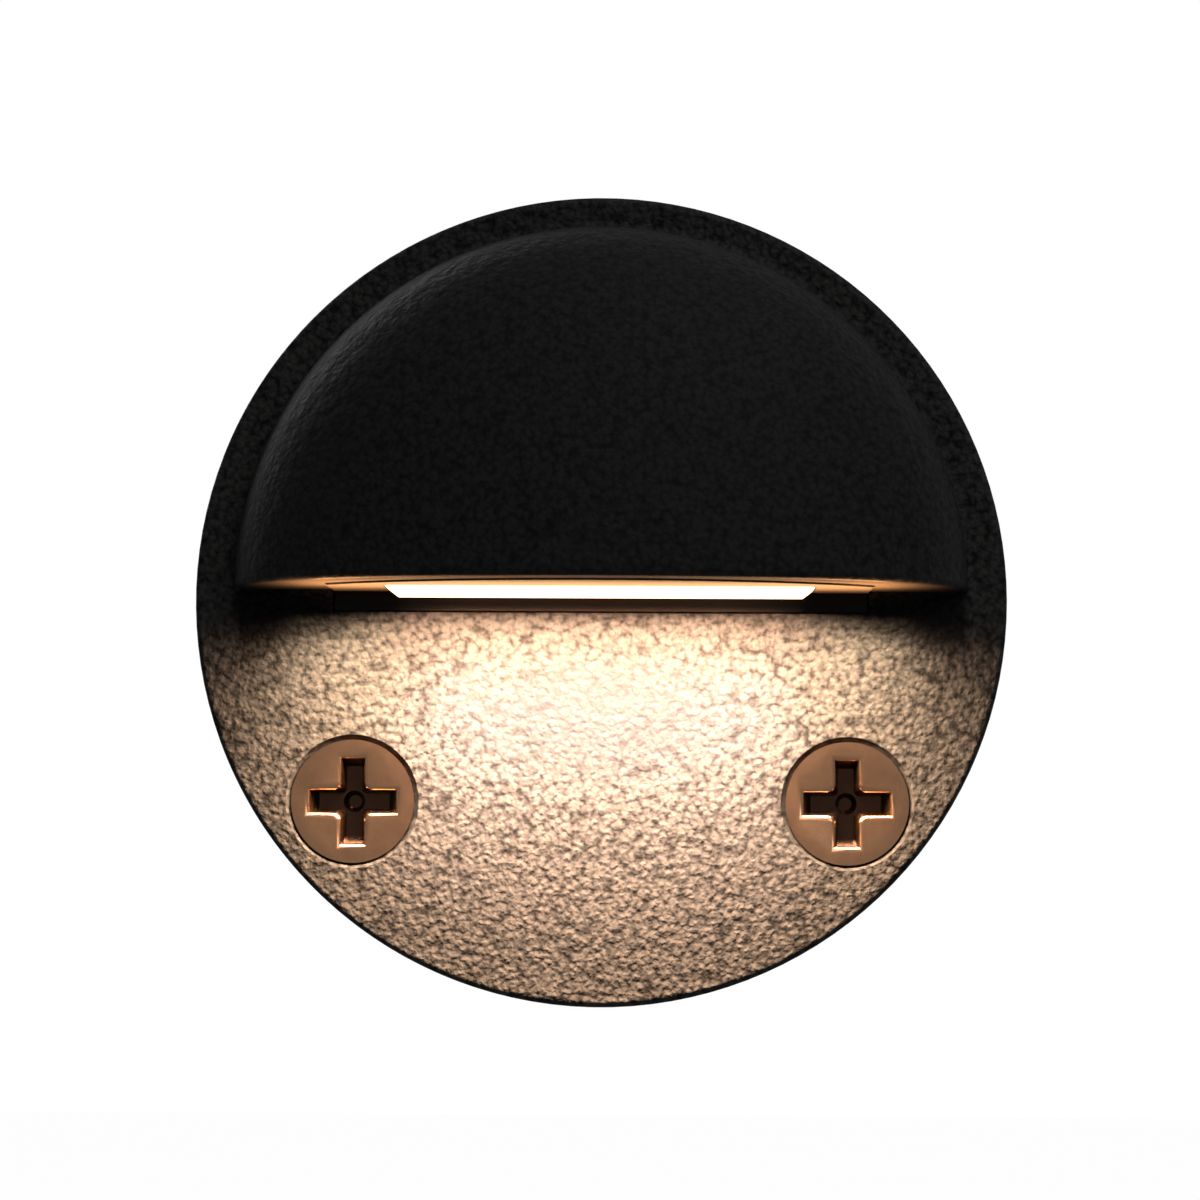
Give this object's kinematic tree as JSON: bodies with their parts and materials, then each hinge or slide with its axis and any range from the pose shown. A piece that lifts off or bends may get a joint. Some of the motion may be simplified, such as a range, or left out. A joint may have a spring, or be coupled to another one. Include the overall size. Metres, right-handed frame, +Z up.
{
  "type": "deck light",
  "caption": "Round surface-mounted step and deck light: a disc with a half-dome hood that throws warm light down its own face, held by flat head screws.",
  "frame": {"origin": "centre of the disc's flat back, on the wall plane", "axes": "+Z up, -Y out of the wall towards the viewer, +Y into the wall, +X to the viewer's right"},
  "size_m": [0.0635, 0.0484, 0.0634],
  "materials": {
    "casting": "textured black powder coat",
    "screw_bronze": "dark bronze plating, satin",
    "frame_black": "smooth black",
    "lens": "frosted, lit warm white",
    "silicone": "soft black",
    "reflector_white": "moulded white",
    "led_board_white": "white solder mask",
    "led_package": "moulded",
    "phosphor": "cast silicone",
    "thermal_pad": "soft",
    "carrier": "mill finish",
    "small_screws": "stainless",
    "standoff_brass": "turned",
    "driver_board": "green solder mask",
    "component_black": "moulded",
    "inductor_grey": "moulded ferrite",
    "capacitor_can": "drawn can",
    "connector_white": "moulded",
    "cover_black": "moulded",
    "gland_black": "moulded nylon",
    "lead_red": "insulation",
    "lead_black": "insulation"
  },
  "bodies": {
    "fixture": {"housing": "casting", "lens_frame": "frame_black", "lens": "lens", "lens_gasket": "silicone", "cover_gasket": "silicone", "wall_gasket": "silicone", "gland_washer": "silicone", "gland_insert": "silicone", "reflector": "reflector_white", "led_board": "led_board_white", "led_packages": "led_package", "led_phosphors": "phosphor", "thermal_pad": "thermal_pad", "carrier": "carrier", "carrier_screws": "small_screws", "standoff_screws": "small_screws", "driver_screws": "small_screws", "cover_screws": "small_screws", "standoffs": "standoff_brass", "driver_board": "driver_board", "bridge_rectifier": "component_black", "driver_diode": "component_black", "driver_chip": "component_black", "chip_resistors": "component_black", "driver_inductor": "inductor_grey", "smoothing_capacitor": "capacitor_can", "lead_connector": "connector_white", "back_cover": "cover_black", "gland_body": "gland_black", "gland_locknut": "gland_black", "gland_cap": "gland_black", "led_lead_positive": "lead_red", "led_lead_negative": "lead_black"},
    "screw_left": {"mounting_screw_left": "screw_bronze"},
    "screw_right": {"mounting_screw_right": "screw_bronze"}
  },
  "joints": [
    {"name": "screw_left_turn", "type": "hinge", "parent": "fixture", "child": "screw_left", "pos_m": [-0.01927, -0.00375, -0.01587], "axis": [0, 1, 0], "continuous": true},
    {"name": "screw_right_turn", "type": "hinge", "parent": "fixture", "child": "screw_right", "pos_m": [0.01927, -0.00375, -0.01587], "axis": [0, 1, 0], "continuous": true}
  ]
}
